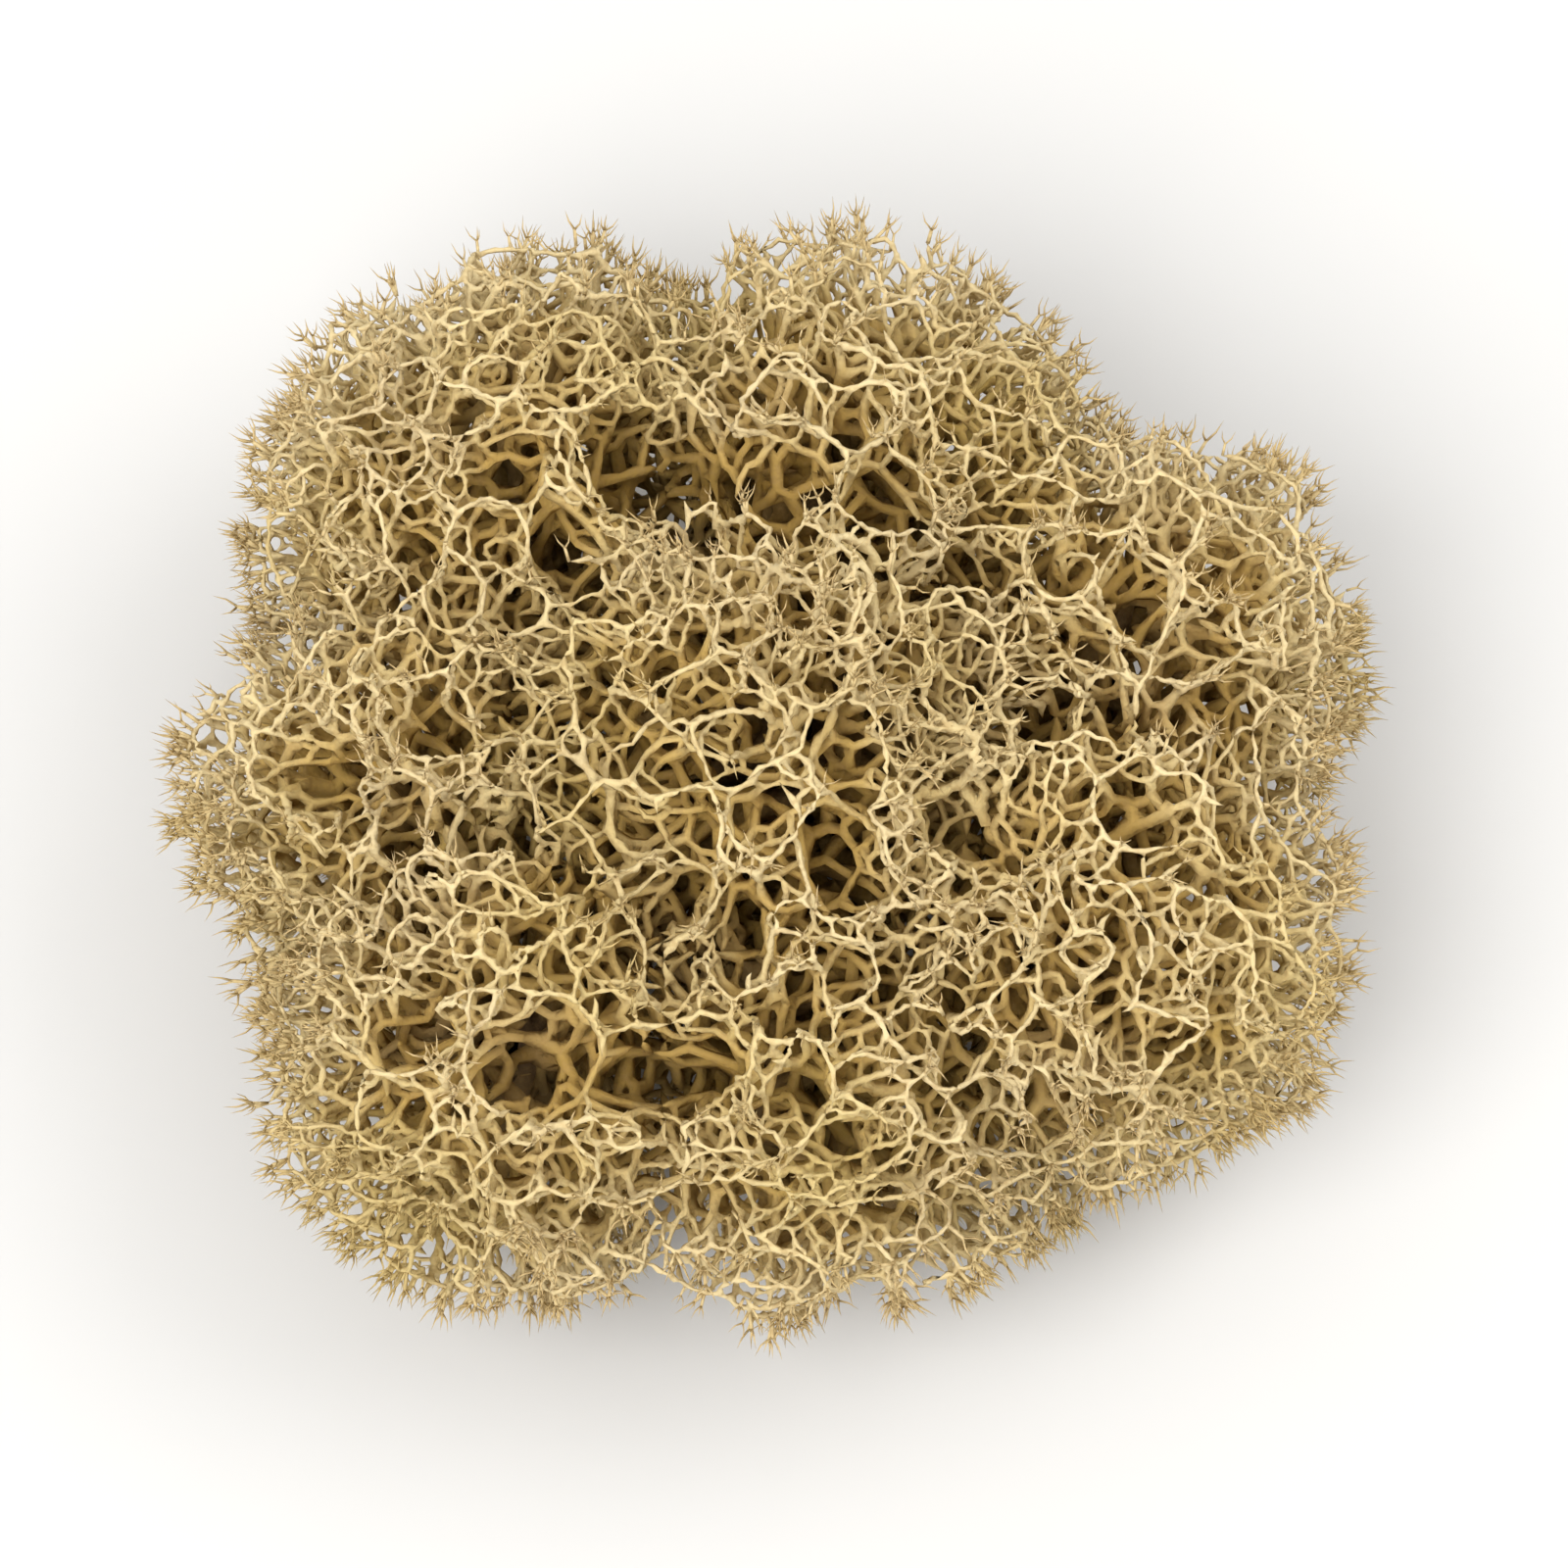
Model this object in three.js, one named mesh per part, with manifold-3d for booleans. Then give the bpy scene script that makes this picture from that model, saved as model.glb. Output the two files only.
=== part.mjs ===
// Preserved reindeer moss: one dry clump of interlocked lichen heads, resting on its cut stalks.
// Millimetres, +Z up. The origin is the middle of the cut face under the middle head's stalk.
//
// Each head is one solid. A stalk rises from the surface into a dense core. The core has a deep pit under
// each cell of a raised net, and rises in stems to the net's joints, with forked tips standing on them.

import * as THREE from 'three';
import { ConvexHull } from 'three/addons/math/ConvexHull.js';
import { mergeVertices } from 'three/addons/utils/BufferGeometryUtils.js';
import Module from 'manifold-3d';

// Driving dimensions of the clump. A head reaches this far sideways from its centre, its crown is this
// high above the surface, and its centre stands at (x, y).
const HEADS = [
  { name: 'head_middle', x: 0, y: 0, reach: 15.5, crown: 33 },
  { name: 'head_right', x: 17, y: 6, reach: 12.5, crown: 29 },
  { name: 'head_back', x: 3.5, y: 14, reach: 14, crown: 30 },
  { name: 'head_back_left', x: -12.5, y: 14.5, reach: 13.5, crown: 28.5 },
  { name: 'head_left', x: -17.5, y: 0, reach: 11.5, crown: 26.5 },
  { name: 'head_front_left', x: -12, y: -14, reach: 13, crown: 28 },
  { name: 'head_front', x: 2, y: -14, reach: 13.5, crown: 27 },
  { name: 'head_front_right', x: 15, y: -8.5, reach: 13.5, crown: 29.5 },
];
const UNDERSIDE = 3.5; // clear height under the heads, where only the stalks stand
const HEAD_CENTRE = 0.5; // height of a head's centre, as a share of its crown
const NEIGHBOUR_GAP = 0.44; // between two heads, where they press against each other

// Driving dimensions of the net and what stands on it
const CELL = 4.4; // from the middle of one cell to the next, on the open side of a head
const HIDDEN_CELL = 10; // the same where a head faces its neighbour
const UNDER_CELL = 6.5; // the same on the underside
const UNDER_FROM = -0.5; // rise of the directions that are on the underside
const STRAND = 0.95; // width and depth of a strand of the net
const STEM_SINK = 0.5; // how far a stem of the core ends below the top of the joint that it carries
const CORE_RIDGE = 0.78; // reach of the core under the other joints, as a share of the head's
const CORE_PIT = 0.5; // reach of the core under the middle of a cell, at the deepest
const CORE_PIT_VARIETY = 0.16; // how much less deep a pit may be
const DIP = 0.06; // how far a joint may lie below the head's surface, as a share of its reach
const FORK_SHARE = 0.6; // of the joints on the open side, those that carry a fork
const FORK_LOWEST = -0.85; // rise of the lowest direction that a fork may stand in
const FORK_WIDTH = 1.1; // of a fork at its base
const CROTCH = 0.6; // height of the crotch between the two prongs
const PRONG_LENGTH = 2.4;
const PRONG_LEAN = 0.6; // of a prong away from the other, as a share of its length
const STALK_TOP = 2.6; // diameters of the main stalk under a head
const STALK_FOOT = 3;
const SIDE_STALKS = 6; // thinner ones round it
const SIDE_STALK_WIDTH = 1.2;
const SIDE_STALK_SPREAD = 4.4; // from the main stalk, at the foot
const LUMP = 0.05; // rise and fall of a head's surface, as a share of its reach
const LUMP_RATES = new THREE.Vector3(5, 6, 5.5); // how fast it rises and falls along x, y and z

const STALK_SIDES = 8;
const SIDE_STALK_SIDES = 5;
const CELL_TRIES = 6000;
const FIRST_SEED = 101;
const MERGE_DISTANCE = 1e-4;

const wasm = await Module();
wasm.setup();

// A seeded draw between 0 and 1, the same on every run
function drawFrom(seed) {
  let state = seed >>> 0;
  return () => {
    state = (state + 0x6d2b79f5) >>> 0;
    let mixed = Math.imul(state ^ (state >>> 15), state | 1);
    mixed ^= mixed + Math.imul(mixed ^ (mixed >>> 7), mixed | 61);
    return ((mixed ^ (mixed >>> 14)) >>> 0) / 4294967296;
  };
}

function centreOf(head) {
  return new THREE.Vector3(head.x, head.y, head.crown * HEAD_CENTRE);
}

// The planes that part a head from its neighbours. A wide head pushes its plane towards a narrow one.
function partingPlanes(head) {
  const centre = centreOf(head);
  return HEADS.filter((other) => other !== head).map((other) => {
    const towards = centreOf(other).sub(centre);
    const distance = towards.length();
    const plane = (distance ** 2 + head.reach ** 2 - other.reach ** 2) / (2 * distance);
    return { normal: towards.normalize(), distance: plane - NEIGHBOUR_GAP / 2 };
  });
}

// How far a head reaches from its centre in a direction, before its neighbours and the surface stop it
function freeReach(head, direction) {
  const rise = direction.z > 0 ? head.crown * (1 - HEAD_CENTRE) : head.crown * HEAD_CENTRE - UNDERSIDE;
  const level = Math.hypot(direction.x, direction.y) / head.reach;
  const egg = 1 / Math.hypot(level, direction.z / rise);
  const { x, y, z } = direction.clone().multiply(LUMP_RATES);
  const wave = Math.sin(x + head.x) + Math.sin(y + head.y) + Math.sin(z + head.crown);
  return egg * (1 + (LUMP * wave) / 2);
}

// How far a head may reach in a direction, up to its neighbours and a strand's depth above the surface
function stopReach(head, planes, direction) {
  let stop = direction.z < 0 ? (head.crown * HEAD_CENTRE - STRAND) / -direction.z : Infinity;
  for (const { normal, distance } of planes) {
    const facing = normal.dot(direction);
    if (facing > 0) stop = Math.min(stop, distance / facing);
  }
  return stop;
}

// Directions of the net's cells, kept a cell apart where they meet the outside of the head
function cellDirections(reachAt, isHidden, draw) {
  const directions = [];
  const places = [];
  for (let i = 0; i < CELL_TRIES; i++) {
    const z = 2 * draw() - 1;
    const turn = 2 * Math.PI * draw();
    const level = Math.sqrt(1 - z * z);
    const direction = new THREE.Vector3(level * Math.cos(turn), level * Math.sin(turn), z);
    const place = direction.clone().multiplyScalar(reachAt(direction));
    const outer = z < UNDER_FROM ? UNDER_CELL : CELL;
    const apart = isHidden(direction) ? HIDDEN_CELL : outer;
    if (places.every((other) => other.distanceTo(place) > apart)) {
      directions.push(direction);
      places.push(place);
    }
  }
  return directions;
}

// The joints of the net: one for each triangle of neighbouring cells, with its neighbours across each side
function netJoints(directions) {
  const hull = new ConvexHull().setFromPoints(directions);
  const numberOf = new Map(directions.map((direction, i) => [direction, i]));
  const joints = hull.faces.map((face) => {
    const cells = [0, 1, 2].map((k) => numberOf.get(face.getEdge(k).head().point));
    const middle = new THREE.Vector3();
    cells.forEach((cell) => middle.add(directions[cell]));
    return { cells, direction: middle.normalize(), across: [] };
  });
  const sides = new Map();
  joints.forEach((joint, j) => {
    joint.cells.forEach((cell, k) => sides.set(`${cell},${joint.cells[(k + 1) % 3]}`, j));
  });
  joints.forEach((joint) => {
    joint.across = joint.cells.map((cell, k) => sides.get(`${joint.cells[(k + 1) % 3]},${cell}`));
  });
  return joints;
}

// Joints that carry a stem: no two of them are next to each other
function stemJoints(joints) {
  const taken = new Set();
  joints.forEach((joint, j) => {
    if (!joint.across.some((other) => taken.has(other))) taken.add(j);
  });
  return taken;
}

// The net of one head and its tips, as one closed surface
function netGeometry(head, planes, draw) {
  const stopAt = (direction) => stopReach(head, planes, direction);
  const reachAt = (direction) => Math.min(freeReach(head, direction), stopAt(direction));
  const isHidden = (direction) => freeReach(head, direction) > stopAt(direction);
  const directions = cellDirections(reachAt, isHidden, draw);
  const joints = netJoints(directions);
  const positions = [];
  const faces = [];
  const addPoint = (point) => positions.push(point.x, point.y, point.z) / 3 - 1;
  const addQuad = (a, b, c, d) => faces.push(a, b, c, a, c, d);

  joints.forEach((joint) => {
    const reach = reachAt(joint.direction) * (1 - DIP * draw());
    const top = joint.direction.clone().multiplyScalar(reach);
    joint.top = top;
    // A step of this length from the joint, towards a direction and level with the net
    const step = (towards, length) => {
      const aim = towards.clone().addScaledVector(joint.direction, -towards.dot(joint.direction));
      return top.clone().addScaledVector(aim.normalize(), length);
    };
    const cornerStep = STRAND / 2 / Math.sin(Math.PI / 3);
    joint.corners = joint.cells.map((cell) => {
      const corner = step(directions[cell], cornerStep).addScaledVector(joint.direction, -STRAND);
      return addPoint(corner);
    });
    const room = stopAt(joint.direction) - reach;
    joint.forked = draw() < FORK_SHARE && room > PRONG_LENGTH && joint.direction.z > FORK_LOWEST;
    if (joint.forked) {
      const ringStep = FORK_WIDTH / 2 / Math.cos(Math.PI / 6);
      joint.tops = joint.across.map((other) => addPoint(step(joints[other].direction, ringStep)));
      joint.crotch = addPoint(top.clone().addScaledVector(joint.direction, CROTCH));
      // A prong leans over the side of the ring that it stands on
      joint.prongs = [0, 1].map((k) => {
        const aim = step(directions[joint.cells[(k + 1) % 3]], PRONG_LENGTH * PRONG_LEAN);
        return addPoint(aim.addScaledVector(joint.direction, PRONG_LENGTH));
      });
    } else {
      const ridge = addPoint(top);
      joint.tops = [ridge, ridge, ridge];
    }
  });

  joints.forEach((joint, j) => {
    const [a, b, c] = joint.corners;
    faces.push(a, c, b);
    if (joint.forked) {
      const [ab, bc, ca] = joint.tops;
      const [first, second] = joint.prongs;
      const crotch = joint.crotch;
      faces.push(ca, a, ab, ab, b, bc, bc, c, ca);
      faces.push(ab, bc, first, bc, crotch, first, crotch, ab, first);
      faces.push(bc, ca, second, ca, crotch, second, crotch, bc, second);
      faces.push(ca, ab, crotch);
    }
    joint.across.forEach((other, k) => {
      if (other < j) return;
      const far = joints[other];
      const left = joint.corners[k];
      const right = joint.corners[(k + 1) % 3];
      const farSide = far.across.indexOf(j);
      const farRight = far.corners[farSide];
      const farLeft = far.corners[(farSide + 1) % 3];
      addQuad(joint.tops[k], left, farLeft, far.tops[farSide]);
      addQuad(joint.tops[k], far.tops[farSide], farRight, right);
      addQuad(left, right, farRight, farLeft);
    });
  });

  const geometry = new THREE.BufferGeometry();
  geometry.setAttribute('position', new THREE.Float32BufferAttribute(positions, 3));
  geometry.setIndex(faces);
  return { geometry, joints, directions, reachAt };
}

// The dense middle of a head. It falls to a pit under each cell of the net, and rises to a ridge between
// two pits. Where three pits meet it ends in a stem inside the net's joint, or in a lower peak.
function coreGeometry({ joints, directions, reachAt }, draw) {
  const positions = [];
  const addPoint = (direction, reach) => {
    const point = direction.clone().multiplyScalar(reach);
    return positions.push(point.x, point.y, point.z) / 3 - 1;
  };
  const stems = stemJoints(joints);
  const ridges = joints.map(({ direction, top }, j) => {
    const low = reachAt(direction) * CORE_RIDGE;
    return addPoint(direction, stems.has(j) ? top.length() - STEM_SINK : low);
  });
  const pits = directions.map((direction) => {
    return addPoint(direction, reachAt(direction) * (CORE_PIT + CORE_PIT_VARIETY * draw()));
  });
  const faces = [];
  joints.forEach((joint, j) => {
    joint.across.forEach((other, k) => {
      if (other < j) return;
      const [near, far] = [ridges[j], ridges[other]];
      faces.push(pits[joint.cells[k]], far, near);
      faces.push(pits[joint.cells[(k + 1) % 3]], near, far);
    });
  });
  const geometry = new THREE.BufferGeometry();
  geometry.setAttribute('position', new THREE.Float32BufferAttribute(positions, 3));
  geometry.setIndex(faces);
  return geometry;
}

// One stalk, from its cut face on the surface up to the head's centre, which is the mesh's origin
function stalkGeometry(head, topWidth, footWidth, sides) {
  const height = head.crown * HEAD_CENTRE;
  const stalk = new THREE.CylinderGeometry(topWidth / 2, footWidth / 2, height, sides);
  stalk.rotateX(Math.PI / 2);
  stalk.translate(0, 0, -height / 2);
  return stalk;
}

// The main stalk and the thinner ones that slant down and away from it to the surface
function stalkSolids(head, draw) {
  const main = solidOf(stalkGeometry(head, STALK_TOP, STALK_FOOT, STALK_SIDES));
  const sides = Array.from({ length: SIDE_STALKS }, (_, i) => {
    const turn = (2 * Math.PI * (i + draw() / 2)) / SIDE_STALKS;
    const slant = SIDE_STALK_SPREAD / (head.crown * HEAD_CENTRE);
    const stalk = stalkGeometry(head, SIDE_STALK_WIDTH, SIDE_STALK_WIDTH, SIDE_STALK_SIDES);
    const shear = new THREE.Matrix4();
    shear.makeShear(0, 0, 0, 0, -slant * Math.cos(turn), -slant * Math.sin(turn));
    return solidOf(stalk.applyMatrix4(shear));
  });
  return [main, ...sides];
}

function solidOf(geometry) {
  const bare = geometry.clone();
  bare.deleteAttribute('normal');
  bare.deleteAttribute('uv');
  const merged = mergeVertices(bare, MERGE_DISTANCE);
  return new wasm.Manifold(
    new wasm.Mesh({
      numProp: 3,
      vertProperties: new Float32Array(merged.getAttribute('position').array),
      triVerts: new Uint32Array(merged.getIndex().array),
    }),
  );
}

function geometryOf(solid) {
  const mesh = solid.getMesh();
  const geometry = new THREE.BufferGeometry();
  geometry.setAttribute('position', new THREE.BufferAttribute(mesh.vertProperties, 3));
  geometry.setIndex(new THREE.BufferAttribute(mesh.triVerts, 1));
  geometry.computeVertexNormals();
  return geometry;
}

function lichen(name) {
  const straw = new THREE.Color().setRGB(0.72, 0.6, 0.38, THREE.SRGBColorSpace);
  return new THREE.MeshStandardMaterial({ name, color: straw, roughness: 0.9, metalness: 0 });
}

function headMesh(head, index) {
  const draw = drawFrom(FIRST_SEED + index);
  const planes = partingPlanes(head);
  const net = netGeometry(head, planes, draw);
  const core = solidOf(coreGeometry(net, draw));
  const stalks = stalkSolids(head, draw);
  const solid = stalks.reduce((whole, stalk) => whole.add(stalk), solidOf(net.geometry).add(core));
  const mesh = new THREE.Mesh(geometryOf(solid), lichen(head.name));
  mesh.name = head.name;
  mesh.position.copy(centreOf(head));
  return mesh;
}

const clump = new THREE.Group();
HEADS.forEach((head, index) => clump.add(headMesh(head, index)));

export default clump;
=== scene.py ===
# %% [markdown]
# # A clump of preserved reindeer moss
#
# Reindeer moss is a lichen. Each stalk forks again and again until its branches fill a round head,
# and the outermost forks meet in a net of small polygonal holes with bare tips standing on it.
# Preserved and dried it is straw-coloured outside and brown inside. Eight such heads cling together
# in this clump.
#
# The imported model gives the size, the place and the name of every head. This lesson grows the
# branches.

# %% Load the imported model
import heapq
import math
import bpy
import numpy as np
from mathutils import Matrix, Vector, kdtree


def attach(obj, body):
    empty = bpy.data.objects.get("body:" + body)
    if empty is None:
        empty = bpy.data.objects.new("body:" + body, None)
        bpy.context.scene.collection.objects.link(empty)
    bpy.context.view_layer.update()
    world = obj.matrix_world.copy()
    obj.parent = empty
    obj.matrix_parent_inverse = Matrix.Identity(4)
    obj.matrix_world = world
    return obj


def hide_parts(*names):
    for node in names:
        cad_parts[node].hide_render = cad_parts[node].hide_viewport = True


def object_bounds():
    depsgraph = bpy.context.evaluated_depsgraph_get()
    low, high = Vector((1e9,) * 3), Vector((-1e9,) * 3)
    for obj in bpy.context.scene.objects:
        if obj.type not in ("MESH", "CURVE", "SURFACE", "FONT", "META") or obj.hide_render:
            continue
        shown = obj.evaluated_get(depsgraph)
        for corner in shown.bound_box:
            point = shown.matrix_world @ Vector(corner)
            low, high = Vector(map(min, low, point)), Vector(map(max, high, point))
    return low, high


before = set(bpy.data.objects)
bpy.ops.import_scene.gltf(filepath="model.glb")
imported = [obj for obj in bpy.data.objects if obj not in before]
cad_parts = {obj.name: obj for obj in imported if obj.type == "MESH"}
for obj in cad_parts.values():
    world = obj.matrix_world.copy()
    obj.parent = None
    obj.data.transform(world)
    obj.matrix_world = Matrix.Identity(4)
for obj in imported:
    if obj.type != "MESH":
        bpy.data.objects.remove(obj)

cad_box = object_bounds()
MM = 0.001
SEED = 20
# All chance comes from this or from a seed of its own, so that each run gives the same clump
draw = np.random.default_rng(SEED)
print("the clump measures", [round(side / MM, 1) for side in cad_box[1] - cad_box[0]], "mm")

# %% [markdown]
# ## Camera
#
# The photograph looks straight at the broad side of the clump. The clump lies on its stalks here,
# so the camera stands in front and looks steeply down. A long lens from further off keeps the far
# heads the same size as the near ones, as in a packshot.

# %% Camera
CAMERA_HEIGHT = math.radians(68)  # above the horizon
CAMERA_DISTANCE = 0.62
SEEN_WIDTH = 0.078  # of the floor, across the picture at the clump
AIM_HEIGHT = 0.014
SENSOR = 36.0
NEAREST, FURTHEST = 0.01, 20  # what the camera sees

aim = (cad_box[0] + cad_box[1]) / 2
aim.z = AIM_HEIGHT
camera_data = bpy.data.cameras.new("camera")
camera_data.sensor_width = SENSOR
camera_data.lens = SENSOR * CAMERA_DISTANCE / SEEN_WIDTH
camera_data.clip_start = NEAREST
camera_data.clip_end = FURTHEST
camera = bpy.data.objects.new("camera", camera_data)
bpy.context.scene.collection.objects.link(camera)
back = Vector((0, -math.cos(CAMERA_HEIGHT), math.sin(CAMERA_HEIGHT)))
camera.location = aim + back * CAMERA_DISTANCE
camera.rotation_euler = (-back).to_track_quat("-Z", "Y").to_euler()
bpy.context.scene.camera = camera
print("the lens is", round(camera_data.lens), "mm")

# %% [markdown]
# ## The form of the clump
#
# Each head is an egg round its centre, with a slow swell over its surface. The numbers are the
# driving dimensions of the solid model.

# %% The heads
HEADS = {  # x and y of the centre, reach sideways and height of the crown, in millimetres
    "head_middle": (0, 0, 15.5, 33),
    "head_right": (17, 6, 12.5, 29),
    "head_back": (3.5, 14, 14, 30),
    "head_back_left": (-12.5, 14.5, 13.5, 28.5),
    "head_left": (-17.5, 0, 11.5, 26.5),
    "head_front_left": (-12, -14, 13, 28),
    "head_front": (2, -14, 13.5, 27),
    "head_front_right": (15, -8.5, 13.5, 29.5),
}
UNDERSIDE = 3.5  # height of a head's lower side
HEAD_CENTRE = 0.5  # height of its centre, as a share of the crown's
LUMP = 0.05  # height of the swells, as a share of the reach
LUMP_WAVES = (5, 6, 5.5)  # swells round a head in x, y and z
SHORTEST = 1e-9  # the least length that a vector is divided by

names = list(HEADS)
sizes = np.array([HEADS[name] for name in names], float)
reaches, crowns = sizes[:, 2], sizes[:, 3]
centres = np.column_stack([sizes[:, 0], sizes[:, 1], crowns * HEAD_CENTRE])


def unit(vectors):
    """The same directions with length one."""
    return vectors / np.maximum(np.linalg.norm(vectors, axis=-1, keepdims=True), SHORTEST)


def free_reach(head, direction):
    """How far a head reaches from its centre in each direction."""
    x, y, z = direction.T
    above = crowns[head] * (1 - HEAD_CENTRE)
    below = crowns[head] * HEAD_CENTRE - UNDERSIDE
    egg = 1 / np.hypot(np.hypot(x, y) / reaches[head], z / np.where(z > 0, above, below))
    wave = np.sin(LUMP_WAVES[0] * x + centres[head, 0])
    wave = wave + np.sin(LUMP_WAVES[1] * y + centres[head, 1])
    wave = wave + np.sin(LUMP_WAVES[2] * z + crowns[head])
    return egg * (1 + LUMP * wave / 2)


print(len(names), "heads, the tallest", crowns.max(), "mm high")

# %% [markdown]
# How deep a point lies is measured from the outside of all heads together. The creases between two
# heads are filled a little, as the tips grow into them on the real clump. Short swells, made from a
# few slow waves, gather the branches of a head in tufts, so that its edge isn't as even as a
# trimmed hedge.

# %% How deep a point lies
CREASE_FILL = 1.1  # millimetres
TUFT_SWELL = 0.55  # millimetres, out and in
TUFT_LENGTH = 7.0
TUFT_SEED = 12
WAVES = 6  # added up in one noise
WAVE_VARIETY = (0.7, 1.5)  # times the length
MOST_POWER = 40  # keeps the exponential of a far point in bounds
LEAST_TOTAL = 1e-12  # keeps its logarithm in bounds


def slow_noise(points, length, seed):
    """A smooth field of about plus or minus 1 that changes over this length."""
    waves = np.random.default_rng(seed)
    total = np.zeros(len(points))
    for _ in range(WAVES):
        heading = unit(waves.normal(size=3)) * 2 * math.pi
        heading = heading / (length * waves.uniform(*WAVE_VARIETY))
        total += np.sin(points @ heading + waves.uniform(0, 2 * math.pi))
    return total / math.sqrt(WAVES)


def depth_below(points):
    """How deep each point lies under the outside of the clump, which swells a little in tufts."""
    total = np.zeros(len(points))
    for head, centre in enumerate(centres):
        offset = points - centre
        distance = np.linalg.norm(offset, axis=1)
        depth = free_reach(head, unit(offset)) - distance
        total += np.exp(np.clip(depth / CREASE_FILL, -MOST_POWER, MOST_POWER))
    tufts = TUFT_SWELL * slow_noise(points, TUFT_LENGTH, TUFT_SEED)
    return CREASE_FILL * np.log(np.maximum(total, LEAST_TOTAL)) + tufts


print("the middle head's centre lies", depth_below(centres[:1])[0].round(1), "mm deep")

# %% [markdown]
# ## Which way it grows
#
# The branches of a head fan out from a place low in its middle. Between two heads the directions
# blend, so that the whole clump has one smooth field of growth. The pits, the long inner branches
# and the bare tips all follow it.

# %% The field of growth
GROWTH_START = 4.0  # millimetres from a head's centre down to where its branches fan out
GROWTH_BLEND = 40.0  # square millimetres, as the heads are compared by squares


def nearness(points):
    """The squared distance less the squared reach, for each point and head."""
    return ((points[:, None] - centres[None]) ** 2).sum(2) - reaches[None] ** 2


def growth_at(points):
    """The direction in which the branches grow at each point."""
    squares = nearness(points)
    weight = np.exp((squares.min(1, keepdims=True) - squares) / GROWTH_BLEND)
    fans = unit(points[:, None] - centres[None] + [0, 0, GROWTH_START])
    return unit((fans * weight[:, :, None]).sum(1))


top = np.array([[0, 0, crowns[0]]])
print("on the crown of the middle head it grows towards", growth_at(top)[0].round(2))

# %% [markdown]
# ## Pits
#
# From outside the lichen looks like a net round hundreds of dark pits, from one to several
# millimetres across, between bundles of branches. A net drawn as polygons would look like knitting.
# Here the pits come first, as hollows where no branch may fork, and the branches then fill what is
# left. Some parts have wide pits and others hardly any.

# %% Scatter with a distance
def tree_of(points):
    """A search tree, which finds the points near a place quickly."""
    tree = kdtree.KDTree(len(points))
    for number, point in enumerate(points):
        tree.insert(point, number)
    tree.balance()
    return tree


def thinned(points, apart, growth, stretch):
    """Keeps points that aren't near another kept one, inside an egg stretched along the growth."""
    tree = tree_of(points)
    free = np.ones(len(points), bool)
    kept = []
    for number in range(len(points)):
        if not free[number]:
            continue
        kept.append(number)
        found = tree.find_range(points[number], apart[number] * stretch[number])
        near = np.array([other for _, other, _ in found])
        offset = points[near] - points[number]
        along = offset @ growth[number]
        square = (offset ** 2).sum(1) - along ** 2 * (1 - stretch[number] ** -2)
        free[near[square < apart[number] ** 2]] = False
    return np.array(kept)


print("helpers for scattering ready")

# %% Place the pits
PIT_SPACING = 3.2  # from pit to pit, in millimetres
PIT_VARIETY = 0.55  # the spacing varies by a factor of e to this, up and down
PIT_PATCH = 14  # millimetres over which wide and narrow pits alternate
PIT_SEED = 3
NARROWEST_PIT = 1.5
PIT_DEPTH = 4.6
PIT_DEPTH_VARIETY = (0.5, 1.3)
PIT_LONGEST = 1.9  # times as long as wide
PIT_FULL_FROM = 13.0  # lower down the pits are less deep
PIT_SHALLOWEST = 0.3  # of the full depth, at the bottom
HIDDEN_DEPTH = 1.5  # a head's outside that lies deeper than this is inside another head
SURFACE_TRIES = 90_000

way = unit(draw.normal(size=(SURFACE_TRIES, 3)))
host = draw.integers(0, len(names), SURFACE_TRIES)
outside = np.zeros((SURFACE_TRIES, 3))
for head in range(len(names)):
    mine = host == head
    outside[mine] = centres[head] + way[mine] * free_reach(head, way[mine])[:, None]
sunk = depth_below(outside)
outside, sunk = outside[sunk < HIDDEN_DEPTH], sunk[sunk < HIDDEN_DEPTH]
outside = outside + growth_at(outside) * sunk[:, None]
pit_apart = PIT_SPACING * np.exp(PIT_VARIETY * slow_noise(outside, PIT_PATCH, PIT_SEED))
pit_apart = np.maximum(pit_apart, NARROWEST_PIT)
kept = thinned(outside, pit_apart, growth_at(outside), np.ones(len(outside)))
pits, pit_apart = outside[kept], pit_apart[kept]
pit_side = unit(np.cross(growth_at(pits), draw.normal(size=pits.shape)))
pit_long = draw.uniform(1, PIT_LONGEST, len(pits))
pit_depth = PIT_DEPTH * draw.uniform(*PIT_DEPTH_VARIETY, len(pits))
pit_depth = pit_depth * np.sqrt(pit_apart / PIT_SPACING)
pit_depth *= np.clip(pits[:, 2] / PIT_FULL_FROM, PIT_SHALLOWEST, 1)
print(len(pits), "pits,", pit_apart.min().round(1), "to", pit_apart.max().round(1), "mm apart")

# %% [markdown]
# ## Where the branches fork
#
# The forks are scattered in what the pits leave, each at a distance from the next, which gives even
# cells with no pattern in them. Just under the outside they are closest. Inwards they are further
# apart and their distances stretch along the growth, because the inner branches are longer and run
# outwards. The lowest part of the clump is the dead base of the lichen, which is denser.

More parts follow.
